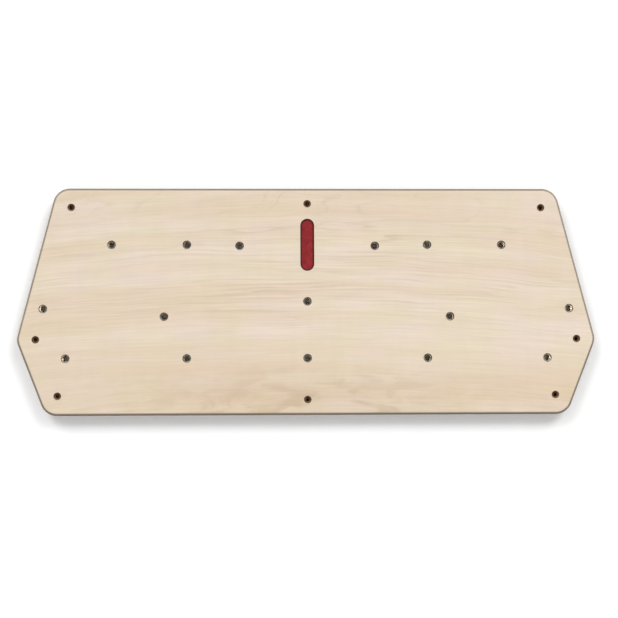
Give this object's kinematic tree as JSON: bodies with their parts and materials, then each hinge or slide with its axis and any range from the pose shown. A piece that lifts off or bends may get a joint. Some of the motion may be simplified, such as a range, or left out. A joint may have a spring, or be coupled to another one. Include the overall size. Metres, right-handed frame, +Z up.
{
  "type": "climbing hold mounting board",
  "caption": "Six-sided plywood board with rounded corners, threaded nuts set from the back for bolting on climbing holds, and countersunk holes for wall screws.",
  "frame": {"origin": "on the back face, at the middle of the board's height and width, which is the centre of the two wall-screw holes on the centre line", "axes": "+X along the board's width, to the right as seen from the front; +Z up; the front face looks along -Y and the back face lies on the wall at Y 0"},
  "size_m": [0.84, 0.018, 0.33],
  "materials": {
    "birch_plywood": "sanded, unvarnished",
    "zinc_steel": "zinc plated",
    "red_infill": "satin paint"
  },
  "bodies": {
    "root": {"plywood_panel": "birch_plywood", "mark_infill": "red_infill", "t_nut_01": "zinc_steel", "t_nut_02": "zinc_steel", "t_nut_03": "zinc_steel", "t_nut_04": "zinc_steel", "t_nut_05": "zinc_steel", "t_nut_06": "zinc_steel", "t_nut_07": "zinc_steel", "t_nut_08": "zinc_steel", "t_nut_09": "zinc_steel", "t_nut_10": "zinc_steel", "t_nut_11": "zinc_steel", "t_nut_12": "zinc_steel", "t_nut_13": "zinc_steel", "t_nut_14": "zinc_steel", "t_nut_15": "zinc_steel", "t_nut_16": "zinc_steel"}
  },
  "joints": []
}
